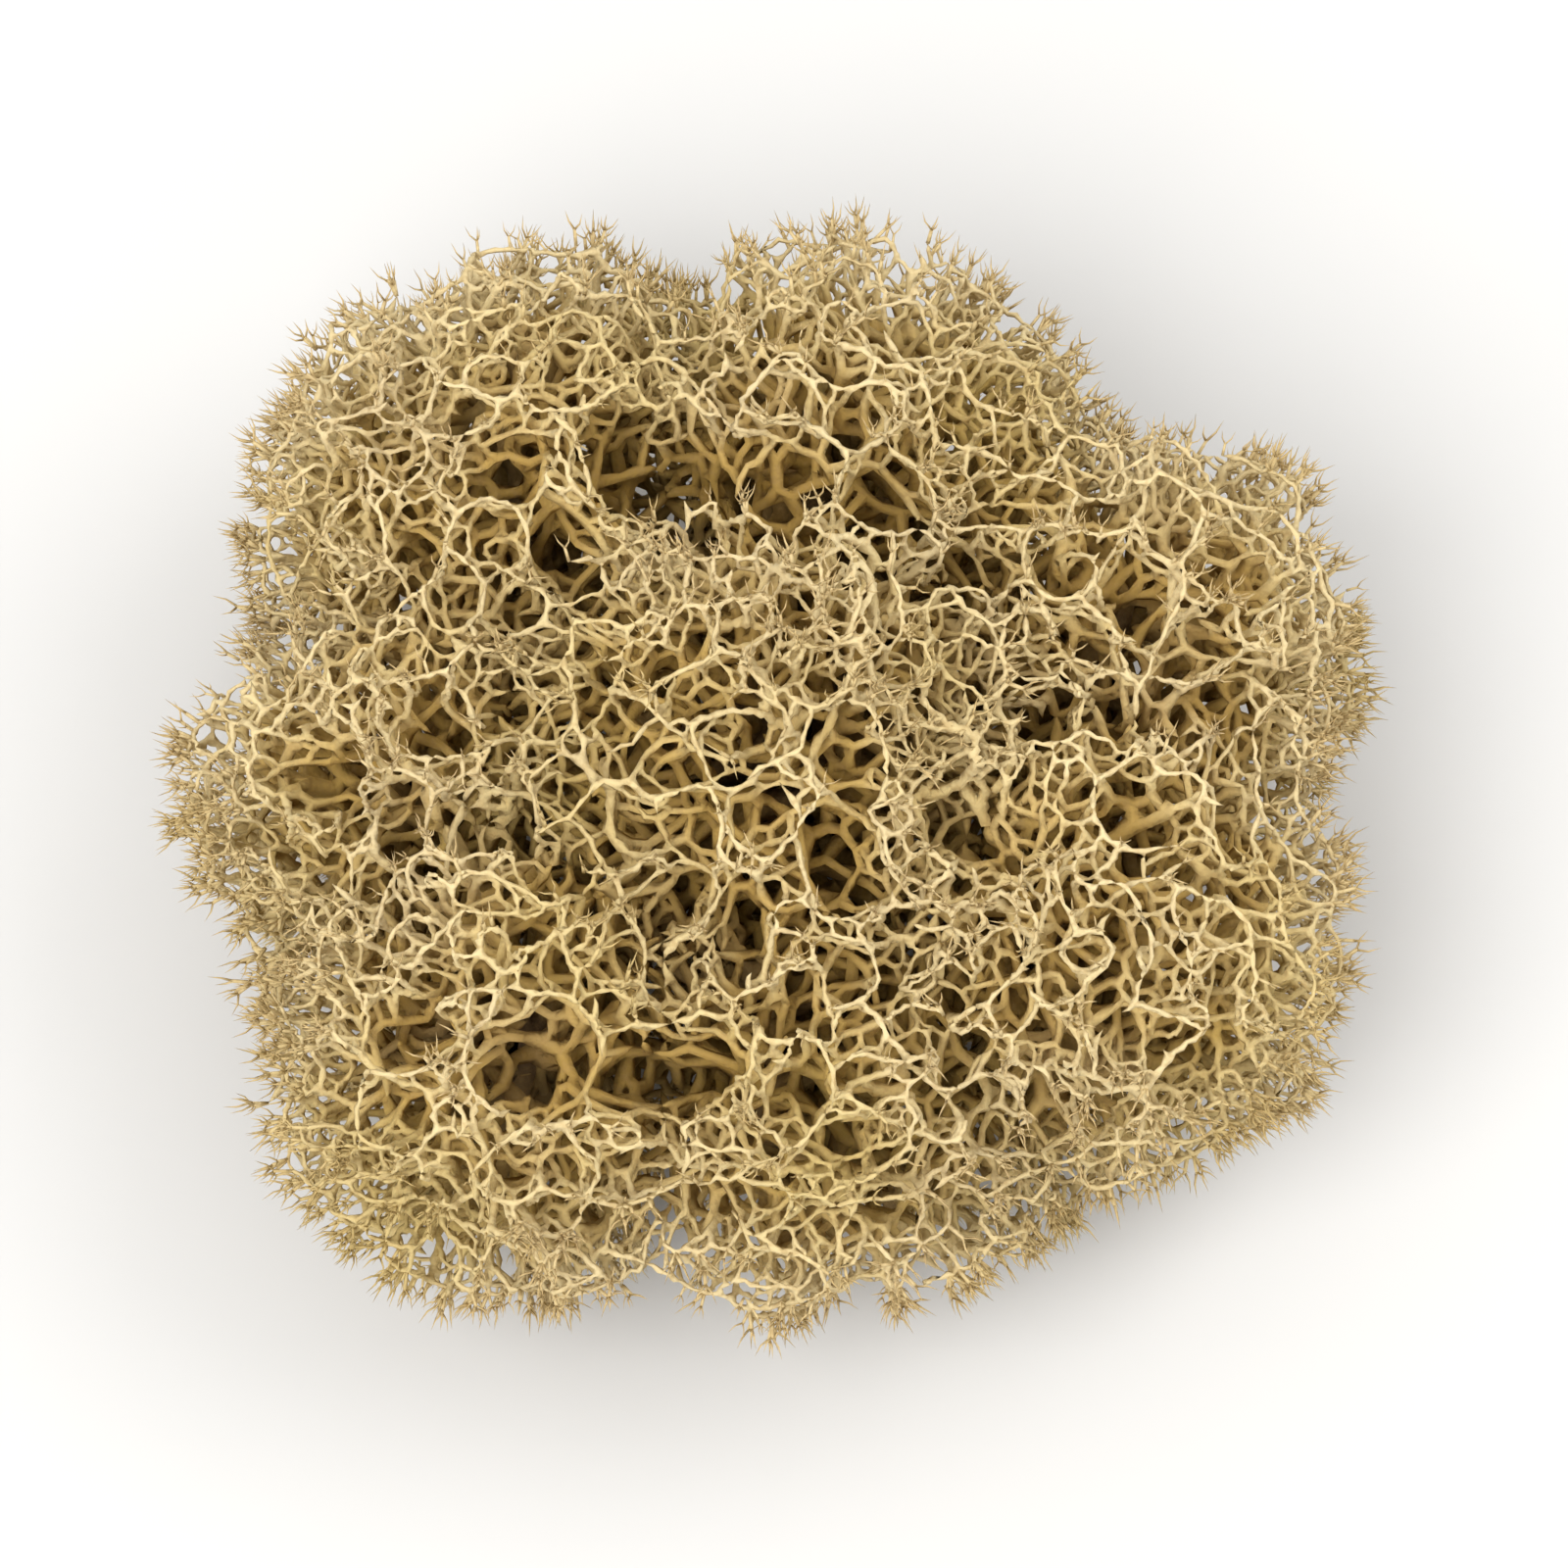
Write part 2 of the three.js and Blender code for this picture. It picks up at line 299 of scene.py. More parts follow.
# %% Scatter the forks
SPACING = 0.74  # from fork to fork, in millimetres
SPACING_VARIETY = 0.16  # as with the pits
SPACING_PATCH = 11
SPACING_SEED = 8
SPACING_AT_DEPTH = ((0, 1.1, 4, 8, 14), (1.14, 1, 1.04, 1.4, 2.2))  # depths, and times the spacing
STRETCH = 1.4  # times longer along the growth
STRETCHED_AT = 3.0  # depth from which they are stretched in full
BASE_HEIGHT = 9.0  # below this the lichen is dead, denser and brown
BASE_DENSER = 0.045  # fall of the spacing with each millimetre below
LOWEST = 1.6  # height above the surface
SHALLOWEST = 0.1  # depth
SIDE_MARGIN, TOP_MARGIN = 2, 3  # beyond the heads, where places are still tried
CANDIDATES = 2_000_000
SPARSE_BELOW, SPARSE_SHARE = 4, 0.3  # deeper than this, fewer candidates are enough
PIT_SHARE = 0.425  # radius of a pit, as a share of the distance to the next


def in_pit(points, depth):
    """Whether a point lies in a pit, which narrows towards its floor."""
    growth = growth_at(points)
    lifted = points + growth * depth[:, None]
    tree = tree_of(pits)
    near = np.array([tree.find(point)[1] for point in lifted])
    offset = lifted - pits[near]
    offset -= growth * (offset * growth).sum(1, keepdims=True)
    along = (offset * pit_side[near]).sum(1)
    square = (offset ** 2).sum(1) - along ** 2 * (1 - pit_long[near] ** -2)
    narrowing = 1 - (depth / pit_depth[near]) ** 2
    return square < (PIT_SHARE * pit_apart[near]) ** 2 * narrowing


low = np.append(centres[:, :2].min(0) - reaches.max() - SIDE_MARGIN, LOWEST)
high = np.append(centres[:, :2].max(0) + reaches.max() + SIDE_MARGIN, crowns.max() + TOP_MARGIN)
forks = draw.uniform(low, high, (CANDIDATES, 3))
depths = depth_below(forks)
wanted = np.where(depths > SPARSE_BELOW, SPARSE_SHARE, 1)
inside = (depths > SHALLOWEST) & (draw.uniform(size=CANDIDATES) < wanted)
forks, depths = forks[inside], depths[inside]
shallow = np.flatnonzero(depths < pit_depth.max())
inside = np.ones(len(forks), bool)
inside[shallow[in_pit(forks[shallow], depths[shallow])]] = False
forks, depths = forks[inside], depths[inside]
spacings = SPACING * np.exp(SPACING_VARIETY * slow_noise(forks, SPACING_PATCH, SPACING_SEED))
spacings *= np.interp(depths, *SPACING_AT_DEPTH)
spacings *= 1 - BASE_DENSER * np.clip(BASE_HEIGHT - forks[:, 2], 0, None)
stretch = 1 + (STRETCH - 1) * np.clip(depths / STRETCHED_AT, 0, 1)
kept = thinned(forks, spacings, growth_at(forks), stretch)
forks, depths = forks[kept], depths[kept]
spacings = spacings[kept] * np.sqrt(stretch[kept])
growth = growth_at(forks)
print(len(forks), "forks")

# %% [markdown]
# A fork belongs to the head that it is nearest to, measured as in the solid model. A little noise
# makes the border ragged, so that the branches of two heads reach into each other.

# %% Give each fork to a head
RAGGED = 18.0  # square millimetres
RAGGED_LENGTH = 7.0
RAGGED_SEED = 40  # of the first head, and one more for each next

ragged = [slow_noise(forks, RAGGED_LENGTH, RAGGED_SEED + head) for head in range(len(names))]
owners = (nearness(forks) + RAGGED * np.column_stack(ragged)).argmin(1)
print("forks in each head:", np.bincount(owners))

# %% [markdown]
# ## Which forks are joined
#
# Three branches meet at a fork, with wide angles between them. All pairs of near forks are listed,
# the short ones and those that run outwards first, and a pair is joined while both ends have room.
# That leaves a web of closed cells with few loose ends. A plain tree would have no cells at all.

# %% Join the forks
REACH_FACTOR = 1.75  # how far a branch may reach, in spacings
OUTWARD_FAVOUR = 0.4  # taken off the cost of a branch that runs along the growth
CHANCE = 0.25  # added to a cost at random, at most
NARROWEST = math.cos(math.radians(58))  # cosine of the angle between two branches at a fork
MOST_BRANCHES = 3


def near_pairs():
    """All pairs of forks near enough for a branch."""
    tree = tree_of(forks)
    found = []
    for number, point in enumerate(forks):
        for _, other, _ in tree.find_range(point, spacings[number] * REACH_FACTOR):
            if other > number:
                found.append((number, other))
    return np.array(found)


def join_forks():
    """The pairs of forks that are joined, the cheapest first."""
    pairs = near_pairs()
    steps = forks[pairs[:, 1]] - forks[pairs[:, 0]]
    lengths = np.linalg.norm(steps, axis=1)
    headings = steps / lengths[:, None]
    along = np.abs((headings * growth[pairs[:, 0]]).sum(1))
    cost = 2 * lengths / (spacings[pairs[:, 0]] + spacings[pairs[:, 1]])
    cost += draw.uniform(0, CHANCE, len(cost)) - OUTWARD_FAVOUR * along
    taken = [[] for _ in forks]
    joined = []
    for number in np.argsort(cost):
        start, end = pairs[number]
        here = headings[number]
        if MOST_BRANCHES in (len(taken[start]), len(taken[end])):
            continue
        if any(here @ other > NARROWEST for other in taken[start]):
            continue
        if any(-here @ other > NARROWEST for other in taken[end]):
            continue
        taken[start].append(here)
        taken[end].append(-here)
        joined.append((start, end))
    return np.array(joined)


branches = join_forks()
ends_at = np.bincount(branches.ravel())
print(len(branches), "branches; forks with 0, 1, 2 and 3:", np.bincount(ends_at))

# %% [markdown]
# Loose scraps are dropped, so that every branch hangs on the whole. Then each fork looks for its
# shortest way down to the stalk. The branches on those ways are the real, grown ones, and the more
# forks a branch feeds the thicker it is. The others are where two branches touched and grew
# together, and stay thin.

# %% Find the ways to the stalks
TIP_RADIUS = 0.12
FEED_POWER = 0.25  # a branch that feeds sixteen times as many forks is twice as thick
THICKEST = 0.7
RADIUS_AT_DEPTH = ((0, 1.2, 3, 6, 12), (0.145, 0.125, 0.165, 0.26, 0.55))  # depths, least radii
RADIUS_VARIETY = (0.88, 1.15)


def ways_down():
    """For each fork, the next one towards its stalk, or -1 on a scrap, and how many it feeds."""
    touching = [[] for _ in forks]
    for start, end in branches:
        length = float(np.linalg.norm(forks[start] - forks[end]))
        touching[start].append((end, length))
        touching[end].append((start, length))
    parent = np.full(len(forks), -1)
    cost = np.full(len(forks), np.inf)
    starts = centres - [0, 0, GROWTH_START]
    roots = [int(np.linalg.norm(forks - start, axis=1).argmin()) for start in starts]
    cost[roots] = 0
    parent[roots] = roots
    waiting = [(0.0, root) for root in roots]
    reached = []
    while waiting:
        here_cost, here = heapq.heappop(waiting)
        if here_cost > cost[here]:
            continue
        reached.append(here)
        for other, length in touching[here]:
            if here_cost + length < cost[other]:
                cost[other] = here_cost + length
                parent[other] = here
                heapq.heappush(waiting, (cost[other], other))
    feeds = np.zeros(len(forks))
    for here in reversed(reached):
        feeds[here] += 1
        if parent[here] != here:
            feeds[parent[here]] += feeds[here]
    return parent, feeds


parents, feeds = ways_down()
alive = parents >= 0
branches = branches[alive[branches[:, 0]]]
radii = np.clip(TIP_RADIUS * np.maximum(feeds, 1) ** FEED_POWER, TIP_RADIUS, THICKEST)
radii = np.maximum(radii, np.interp(depths, *RADIUS_AT_DEPTH))
radii = radii * draw.uniform(*RADIUS_VARIETY, len(forks))
print(int(alive.sum()), "forks hang together, the thickest", radii.max().round(2), "mm in radius")

# %% [markdown]
# Random forks give kinked branches. Each fork is now moved part of the way to the middle of its
# neighbours, a few times over. The branches straighten and the cells round off, as in foam.

# %% Relax the web
RELAX_ROUNDS = 3
RELAX_SHARE = 0.42

number_of = np.bincount(branches.ravel(), minlength=len(forks))
for _ in range(RELAX_ROUNDS):
    total = np.zeros_like(forks)
    np.add.at(total, branches[:, 0], forks[branches[:, 1]])
    np.add.at(total, branches[:, 1], forks[branches[:, 0]])
    moving = number_of > 1
    forks[moving] += RELAX_SHARE * (total[moving] / number_of[moving, None] - forks[moving])
depths = depth_below(forks)
lengths = np.linalg.norm(forks[branches[:, 0]] - forks[branches[:, 1]], axis=1)
print("the branches are", np.percentile(lengths, [5, 50, 95]).round(2), "mm long")

# %% [markdown]
# Dried lichen is brittle. Near the outside some of the branches that only touched have come apart,
# and their ends stand free between the cells, bent a little outwards.

# %% Break some branches
BROKEN_SHARE = 0.45
BROKEN_DEPTH = 1.8

starts, ends = branches.T
grown = (parents[starts] == ends) | (parents[ends] == starts)
one_head = owners[starts] == owners[ends]
broken = ~grown & one_head & (depths[branches].max(1) < BROKEN_DEPTH)
broken &= draw.uniform(size=len(branches)) < BROKEN_SHARE
print(int(broken.sum()), "of", len(branches), "branches are broken")

# %% [markdown]
# ## A skin over the branches
#
# Tubes pushed into each other would show a hard seam at every fork. Here a fork with three branches
# has only five points: one above, one below and one in each corner between two branches. Each
# branch is a four-sided tube from such a ring, over a thinner ring at its middle, to the ring at
# its other end. All share their points, so the skin is closed and the corners are rounded like
# those of foam. Deep inside the middle ring is left out, because nobody sees it. Blender's Skin
# modifier was the other way: on a web this fine it takes minutes and leaves open seams.

# %% Rings at the forks
WEB = 1.5  # how far the corner between two branches is filled, in radii
NEARLY_STRAIGHT = 0.2  # two branches that run on in one line have no side between them
NUDGE = 1e-6  # gives a direction even where three branches run in one line
ASIDE = 0.31  # off the growth, as a branch that runs along it would have no upper side


class Skin:
    """The points, their depths and the faces of one head, collected piece by piece."""

    def __init__(self):
        self.points, self.deep, self.faces = [], [], []
        self.count = 0

    def add_points(self, points, deep):
        """Adds points with their depths and returns their numbers."""
        first = self.count
        self.points.append(points)
        self.deep.append(np.broadcast_to(deep, len(points)))
        self.count += len(points)
        return np.arange(first, self.count)

    def add_faces(self, faces):
        self.faces.extend(faces.tolist())

    def add_copy(self, points, deep, faces):
        """Adds a modelled piece, whose faces count its own points from nought."""
        first = self.count
        self.add_points(points, deep)
        self.faces.extend([first + corner for corner in face] for face in faces)


def rings_of_three(skin, here, ends):
    """The rings of forks with three branches, in the order of their ends and counter-clockwise."""
    at, size = forks[here], radii[here][:, None]
    ways = unit(ends - at[:, None])
    up = unit(np.cross(ways[:, 1] - ways[:, 0], ways[:, 2] - ways[:, 0]) + NUDGE)
    top = skin.add_points(at + up * size, depths[here])
    bottom = skin.add_points(at - up * size, depths[here])
    corners = []
    for first in range(3):
        between = ways[:, first] + ways[:, (first + 1) % 3]
        between = between - up * (between * up).sum(1, keepdims=True)
        across = ways[:, (first + 2) % 3]
        across = up * (across * up).sum(1, keepdims=True) - across
        straight = np.linalg.norm(between, axis=1, keepdims=True) < NEARLY_STRAIGHT
        corner = unit(np.where(straight, across, between))
        corners.append(skin.add_points(at + corner * size * WEB, depths[here]))
    rings = [np.column_stack([top, corners[k], bottom, corners[k - 1]]) for k in range(3)]
    return np.stack(rings, axis=1)


def rings_of_two(skin, here, ends):
    """The shared ring of forks with two branches, once for each branch."""
    at, size = forks[here], radii[here][:, None]
    ways = unit(ends - at[:, None])
    through = unit(ways[:, 1] - ways[:, 0])
    up = unit(np.cross(through, growth[here] + ASIDE))
    left = np.cross(up, through)
    top, west, bottom, east = (
        skin.add_points(at + side * size, depths[here]) for side in (up, left, -up, -left)
    )
    forward = np.column_stack([top, west, bottom, east])
    backward = np.column_stack([top, east, bottom, west])
    return np.stack([backward, forward], axis=1)


print("a fork of three branches has 5 points, a bend has 4")

# %% Tubes between the rings
WAIST = 0.8  # radius in the middle of a branch, as a share of its thinner end's
WAIST_GROWN_TOGETHER = 0.62  # the same where two branches only touched
SAG = 0.07  # how far a branch's middle lies off the straight line, as a share of its length
FAR_SHARE = 0.9  # weight of the far ring's directions in the waist's, beside the near ring's


def spokes_of(skin, ring, hub, along):
    """Directions from a branch's end to the four points of its ring, square to the branch."""
    offset = np.concatenate(skin.points)[ring] - hub[:, None]
    return unit(offset - along[:, None] * (offset * along[:, None]).sum(2, keepdims=True))


def matched(skin, start, end, near_ring, far_ring):
    """The far ring in the turn that twists least, and the directions for the waist."""
    along = unit(forks[end] - forks[start])
    near = spokes_of(skin, near_ring, forks[start], along)
    # The far ring runs the other way round
    turns = [far_ring[:, [(turn - k) % 4 for k in range(4)]] for turn in range(4)]
    far = np.stack([spokes_of(skin, turn, forks[end], along) for turn in turns], axis=1)
    turns = np.stack(turns, axis=1)
    best = (far * near[:, None]).sum((2, 3)).argmax(1)
    rows = np.arange(len(best))
    return turns[rows, best], unit(near + FAR_SHARE * far[rows, best])


def waist_ring(skin, start, to, around, size, deep):
    """A ring of four points half-way along each branch, a little off the straight line."""
    at = forks[start]
    length = np.linalg.norm(to - at, axis=1, keepdims=True)
    bend = np.cross(unit(to - at), draw.normal(size=at.shape)) * SAG * length
    ring = ((at + to) / 2 + bend)[:, None] + around * size[:, None, None]
    return skin.add_points(ring.reshape(-1, 3), np.repeat(deep, 4)).reshape(-1, 4)


def add_tubes(skin, first_ring, second_ring):
    """Four faces from each ring to the next."""
    for k in range(4):
        after = (k + 1) % 4
        sides = (first_ring[:, k], second_ring[:, k], second_ring[:, after], first_ring[:, after])
        skin.add_faces(np.column_stack(sides))


def add_tips(skin, ring, tips, deep):
    """Closes branches that end at a point, in a fork of another head or in the air."""
    tip = skin.add_points(tips, deep)
    for k in range(4):
        skin.add_faces(np.column_stack([ring[:, k], tip, ring[:, (k + 1) % 4]]))


print("a whole branch has 8 sides, or 4 deep inside, and a pointed one 4 sides and 4 triangles")

# %% The rings of one head
def rings_of(skin, mine, inside):
    """For each pair of forks of one head, the ring at the first that faces the second."""
    own_ends = {}
    for start, end in mine:
        own_ends.setdefault(start, []).append(end)
    for start, end in mine[inside]:
        own_ends.setdefault(end, []).append(start)
    rings = {}
    for number, maker in ((3, rings_of_three), (2, rings_of_two)):
        here = np.array([fork for fork, ends in own_ends.items() if len(ends) == number])
        ends = np.array([own_ends[fork] for fork in here])
        for fork, others, made in zip(here, ends, maker(skin, here, forks[ends])):
            for other, ring in zip(others, made):
                rings[fork, other] = ring
    return rings


print("the smallest head has", np.bincount(owners[branches[:, 0]]).min(), "branches")

# %% Whole and pointed branches
STUB_SHARE = 0.55  # of a broken branch, that still stands on each end
STUB_BEND = 0.22  # millimetres outwards


def sorted_out(mine, rings, are_broken, are_grown):
    """The whole branches with their waists, and the pointed ones with their tips."""
    whole, pointed = [], []
    for (start, end), is_broken, is_grown in zip(mine.tolist(), are_broken, are_grown):
        both = (start, end) in rings and (end, start) in rings
        if both and not is_broken:
            whole.append((start, end, WAIST if is_grown else WAIST_GROWN_TOGETHER))
            continue
        for at, to in ((start, end), (end, start)):
            if (at, to) not in rings:
                continue
            reach = STUB_SHARE if is_broken else 1
            tip = forks[at] + (forks[to] - forks[at]) * reach
            if is_broken:
                tip = tip + growth[at] * STUB_BEND
            pointed.append((at, to, tip))
    return whole, pointed


print("a broken branch leaves", STUB_SHARE, "of its length on each of its forks")

# %% The skin of one head
NO_WAIST_BELOW = 3.2  # depth


def add_whole(skin, rings, whole):
    """Tubes from ring to ring, over a waist where they can be seen."""
    start, end = np.array([branch[:2] for branch in whole]).T
    near = np.array([rings[a, b] for a, b, _ in whole])
    far = np.array([rings[b, a] for a, b, _ in whole])
    far, around = matched(skin, start, end, near, far)
    size = np.minimum(radii[start], radii[end]) * [thin for _, _, thin in whole]
    deep = (depths[start] + depths[end]) / 2
    fine = deep < NO_WAIST_BELOW
    waist = waist_ring(skin, start[fine], forks[end[fine]], around[fine], size[fine], deep[fine])
    add_tubes(skin, near[fine], waist)
    add_tubes(skin, waist, far[fine])
    add_tubes(skin, near[~fine], far[~fine])


def add_pointed(skin, rings, pointed):
    """Tubes from a ring over a waist to a point."""
    start, end = np.array([branch[:2] for branch in pointed]).T
    near = np.array([rings[a, b] for a, b, _ in pointed])
    tips = np.array([tip for _, _, tip in pointed])
    size = np.minimum(radii[start], radii[end]) * WAIST
    around = spokes_of(skin, near, forks[start], unit(tips - forks[start]))
    waist = waist_ring(skin, start, tips, around, size, depths[start])
    add_tubes(skin, near, waist)
    add_tips(skin, waist, tips, depths[start])


def skin_of(head):
    """The skin over all branches of one head."""
    skin = Skin()
    own = owners[branches[:, 0]] == head
    mine = branches[own]
    rings = rings_of(skin, mine, owners[mine[:, 1]] == head)
    whole, pointed = sorted_out(mine, rings, broken[own], grown[own])
    add_whole(skin, rings, whole)
    add_pointed(skin, rings, pointed)
    return skin


skins = [skin_of(head) for head in range(len(names))]
print("faces over the branches of each head:", [len(skin.faces) for skin in skins])

# %% [markdown]
# ## The tips
#
# The last forks end in a spray of two or three bare, curved prongs, like a tiny antler. One spray
# of each kind is modelled by hand: a slender four-sided stem, and a three-sided cone for each
# prong, which is cut across and bent. Copies of them go on the outermost forks.

# %% Helpers for edit mode
def start_piece():
    """Leaves edit mode and selects nothing, so that an operator meets only its own primitive."""
    if bpy.context.object and bpy.context.object.mode != "OBJECT":
        bpy.ops.object.mode_set(mode="OBJECT")
    bpy.ops.object.select_all(action="DESELECT")


def select_where(piece, test):
    """Selects the vertices whose place passes the test, in edit mode."""
    bpy.ops.object.mode_set(mode="EDIT")
    bpy.ops.mesh.select_mode(type="VERT")
    bpy.ops.mesh.select_all(action="DESELECT")
    bpy.ops.object.mode_set(mode="OBJECT")
    for vertex in piece.data.vertices:
        vertex.select = test(vertex.co)
    bpy.ops.object.mode_set(mode="EDIT")


def cut_across(piece, height):
    """Cuts a ring of edges round the piece at this height."""
    select_where(piece, lambda place: True)
    bpy.ops.mesh.bisect(plane_co=(0, 0, height), plane_no=(0, 0, 1))


def from_lowest(corners):
    """The same face from its lowest corner on. Operators may start it elsewhere in each run."""
    first = corners.index(min(corners))
    return corners[first:] + corners[:first]


def joined(pieces):
    """Joins pieces into the last one and returns its points and faces, in a fixed order."""
    start_piece()
    for piece in pieces:
        piece.select_set(True)
    whole = bpy.context.view_layer.objects.active = pieces[-1]
    if len(pieces) > 1:
        bpy.ops.object.join()
    points = np.array([whole.matrix_world @ vertex.co for vertex in whole.data.vertices])
    faces = sorted(from_lowest(list(face.vertices)) for face in whole.data.polygons)
    bpy.data.objects.remove(whole)
    return points, faces


print("helpers for modelling ready")

# %% Model the sprays
STEM_LENGTH, STEM_WIDTH, STEM_TOP_WIDTH = 0.85, 0.2, 0.167
PRONG_LENGTH, PRONG_WIDTH = 1.15, 0.135
PRONG_SHORTER = 0.15  # each next prong of a spray
PRONG_BEND_AT, PRONG_BEND = 0.45, 0.1  # as shares of its length
PRONG_THICKER = 1.2  # at the bend
PRONG_SUNK = PRONG_WIDTH / 3  # into the stem
AT_RING = 0.01  # how near to a cut the points of its ring lie


def add_prong(turn, lean, length):
    """A cone on top of the stem, cut across and bent upwards at the cut."""
    start_piece()
    bpy.ops.mesh.primitive_cone_add(
        vertices=3, radius1=PRONG_WIDTH / 2, depth=length, location=(0, 0, length / 2)
    )
    prong = bpy.context.object
    bpy.ops.object.transform_apply()
    cut_across(prong, length * PRONG_BEND_AT)
    select_where(prong, lambda place: abs(place.z - length * PRONG_BEND_AT) < AT_RING)
    bpy.ops.transform.resize(value=(PRONG_THICKER, PRONG_THICKER, 1))
    bpy.ops.transform.translate(value=(PRONG_BEND * length, 0, 0))
    bpy.ops.object.mode_set(mode="OBJECT")
    swing = Matrix.Rotation(turn, 4, "Z") @ Matrix.Rotation(lean, 4, "Y")
    prong.matrix_world = Matrix.Translation((0, 0, STEM_LENGTH - PRONG_SUNK)) @ swing
    return prong


def model_spray(leans):
    """A stem with a prong for each lean, in millimetres, with its root at the origin."""
    start_piece()
    bpy.ops.mesh.primitive_cone_add(
        vertices=4,
        radius1=STEM_WIDTH / 2,
        radius2=STEM_TOP_WIDTH / 2,
        depth=STEM_LENGTH,
        location=(0, 0, STEM_LENGTH / 2),
    )
    stem = bpy.context.object
    prongs = []
    for number, lean in enumerate(leans):
        turn = 2 * math.pi * number / len(leans)
        length = PRONG_LENGTH * (1 - PRONG_SHORTER * number)
        prongs.append(add_prong(turn, math.radians(lean), length))
    return joined([*prongs, stem])


SPRAY_LEANS = ((27, 24), (14, 38), (34, 28, 22))  # degrees from the stem, for each prong

sprays = [model_spray(leans) for leans in SPRAY_LEANS]
print("faces of a spray:", [len(faces) for _, faces in sprays])

# %% [markdown]
# A spray stands on a fork near the outside and points outwards, leaning a little at random. Most
# stand round the sides. On the crowns the web hides them, and on the dead underside few tips are
# left. Everywhere they stand thicker in some patches than in others. Copying by hand is a matrix
# for each spray, and here all the matrices are worked out at once.

# %% Set the sprays on the forks
SPRAY_DEPTH = 0.9  # of the deepest fork that bears one
SPRAY_LEAN = 0.3
SPRAY_SIZE = (0.6, 1.25)
SPRAYS_AT_RISE = (  # how steeply a fork grows upwards, from -1 to 1, and its sprays on average
    (-0.8, -0.35, 0.2, 0.8),
    (0.25, 2.3, 2.3, 0.6),
)
SPRAY_PATCH, SPRAY_VARIETY, FEWEST_SPRAYS = 4.0, 0.6, 0.2
SPRAY_SEED = 17


def set_sprays(head, skin):
    """Copies sprays onto the outer forks of a head and returns their number."""
    outer = np.flatnonzero(alive & (owners == head) & (depths < SPRAY_DEPTH))
    average = np.interp(growth[outer, 2], *SPRAYS_AT_RISE)
    patches = 1 + SPRAY_VARIETY * slow_noise(forks[outer], SPRAY_PATCH, SPRAY_SEED)
    average *= np.clip(patches, FEWEST_SPRAYS, None)
    outer = np.repeat(outer, draw.poisson(average))
    kind = draw.integers(0, len(sprays), len(outer))
    for number, (points, faces) in enumerate(sprays):
        here = outer[kind == number]
        axis = unit(growth[here] + SPRAY_LEAN * draw.normal(size=(len(here), 3)))
        side = unit(np.cross(axis, draw.normal(size=axis.shape)))
        turned = np.stack([side, np.cross(axis, side), axis], axis=2)
        size = draw.uniform(*SPRAY_SIZE, len(here))[:, None, None]
        placed = forks[here][:, None] + size * np.einsum("nij,pj->npi", turned, points)
        above = -points[:, 2] / points[:, 2].max()  # depth for the colour, -1 at the tips
        for copy in placed:
            skin.add_copy(copy, above, faces)
    return len(outer)


spray_counts = [set_sprays(head, skin) for head, skin in enumerate(skins)]
print("sprays on each head:", spray_counts)

# %% [markdown]
# ## The stalks
#
# Under each head a bundle of stalks in the middle and six single ones round it come down to the
# surface, where they were cut. They are tough, crooked and brown, with the stubs of side branches
# that broke off. One is modelled from a cylinder: rings are cut round it, pushed aside and resized,
# a stub is extruded from a side, and the cut face is inset so that its rim is sharp and its pith a
# little sunk.

# %% Model the stalks
STALK_HEIGHT = 15.0
STALK_WIDTH = 1.1
STALK_RINGS = (  # height, push in x and y, resize
    (0.8, 0.06, -0.08, 0.88),
    (1.9, 0.26, -0.12, 0.98),
    (3.1, -0.1, 0.16, 0.8),
    (4.4, -0.24, 0.3, 1.05),
    (6.5, 0.24, 0.14, 0.8),
    (10.0, -0.24, -0.24, 0.65),
)
STALK_SIDES = 8
CUT_RIM, CUT_SUNK = 0.12, 0.06  # of the cut face, as shares of the width
STUBS = ((1.4, 0), (3.7, 3), (5.4, 6))  # height and side of the face that a stub grows from
STUB_OUT, STUB_UP = 0.5, 0.3
STUB_NARROWER = (0.4, 0.4, 0.25)
UPRIGHT = 0.7  # a side face's normal rises less than this


def select_face(piece, number):
    """Selects one face by its number, in edit mode."""
    select_where(piece, lambda place: False)
    bpy.ops.object.mode_set(mode="OBJECT")
    piece.data.polygons[number].select = True
    bpy.ops.object.mode_set(mode="EDIT")
    bpy.ops.mesh.select_mode(type="FACE")


def add_stub(stalk, height, side):
    """Extrudes a face on this side of the stalk outwards and a little up, and narrows it."""
    angle = 2 * math.pi * side / STALK_SIDES
    target = Vector((math.cos(angle), math.sin(angle), 0)) * STALK_WIDTH / 2
    target.z = height
    faces = [face for face in stalk.data.polygons if abs(face.normal.z) < UPRIGHT]
    nearest = min(faces, key=lambda face: (face.center - target).length)
    out = nearest.normal.copy()
    select_face(stalk, nearest.index)
    bpy.ops.mesh.extrude_region_move()
    bpy.ops.transform.translate(value=out * STUB_OUT + Vector((0, 0, STUB_UP)))
    bpy.ops.transform.resize(value=STUB_NARROWER)
    bpy.ops.object.mode_set(mode="OBJECT")


